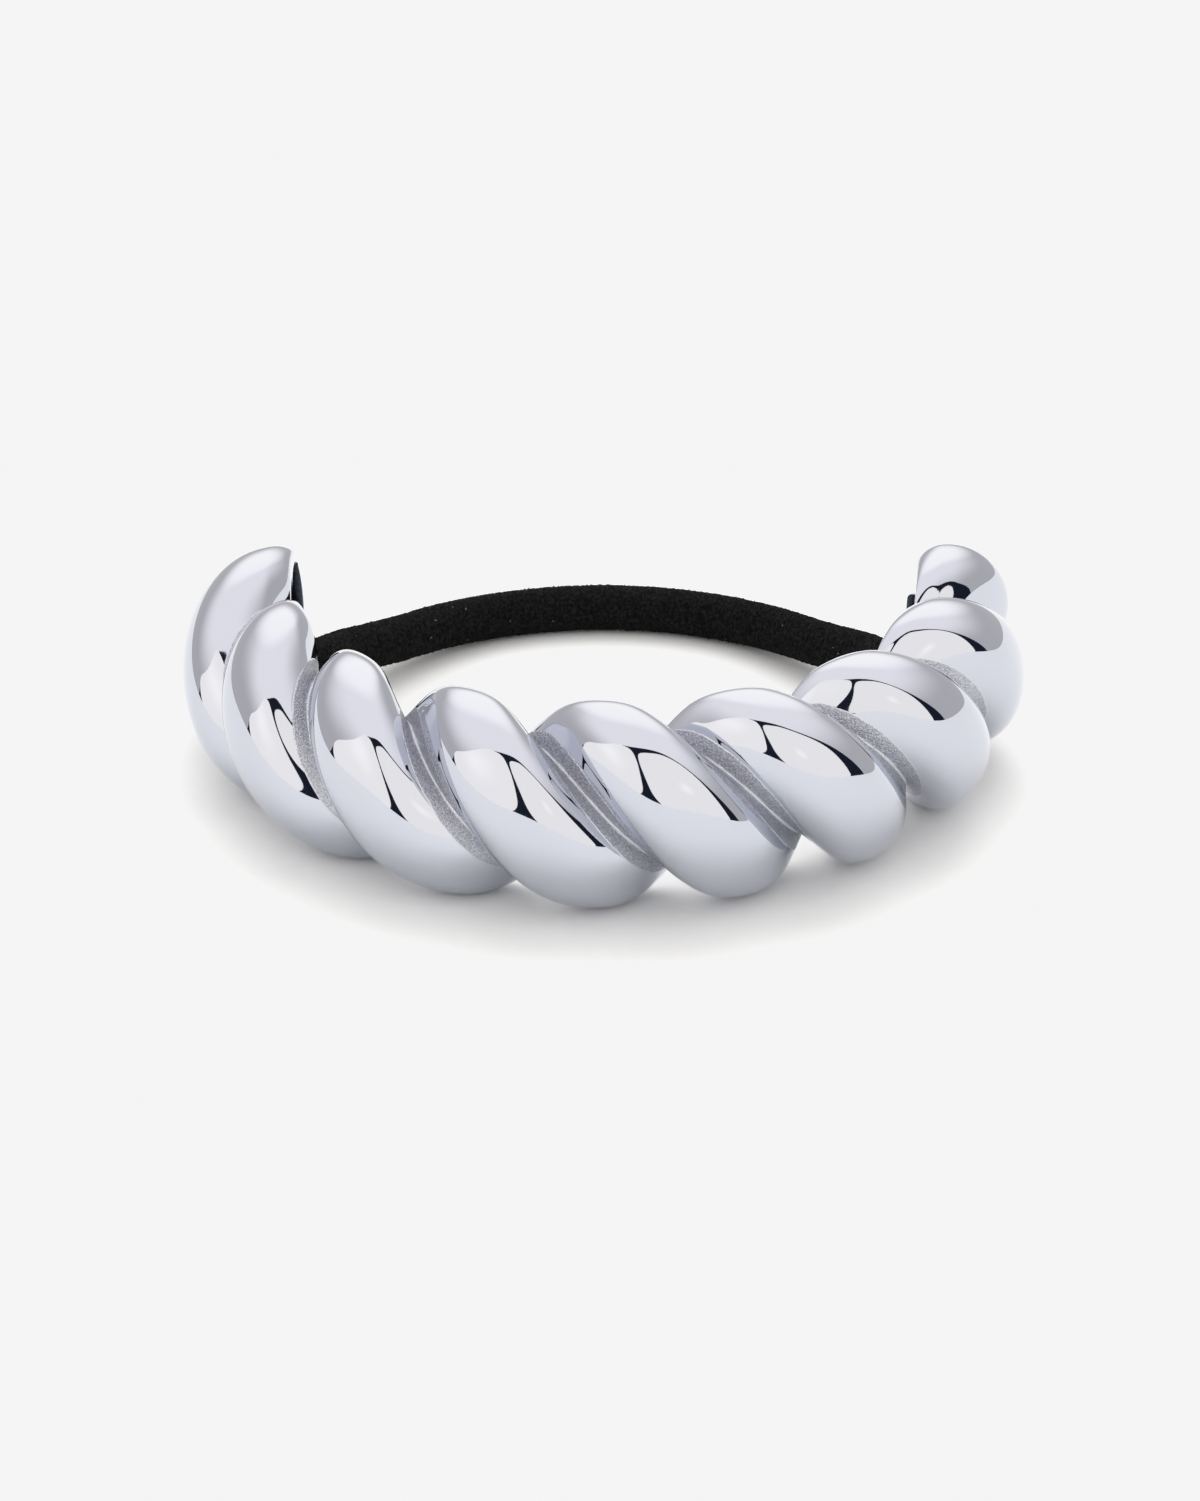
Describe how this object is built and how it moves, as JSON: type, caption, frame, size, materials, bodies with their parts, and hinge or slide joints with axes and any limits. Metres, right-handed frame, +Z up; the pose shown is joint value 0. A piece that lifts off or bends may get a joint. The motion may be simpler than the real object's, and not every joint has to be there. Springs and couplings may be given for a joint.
{
  "type": "hair tie",
  "caption": "Hair tie: a C-shaped metal cuff, twisted like a two-strand rope, closed at the back by a round black elastic.",
  "frame": {"origin": "middle of the metal cuff's own box, on the surface that it lies on", "axes": "+Z up out of the surface, through the opening for the hair; +X along the widest part of the cuff, from its left end to its right end; -Y towards the front of the cuff, +Y towards the open elastic at the back"},
  "size_m": [0.0646, 0.0552, 0.0161],
  "materials": {
    "polished_metal": "mirror polish, satin in the grooves",
    "black_elastic": "matte knitted"
  },
  "bodies": {
    "root": {"twisted_cuff": "polished_metal", "elastic_cord": "black_elastic"}
  },
  "joints": []
}
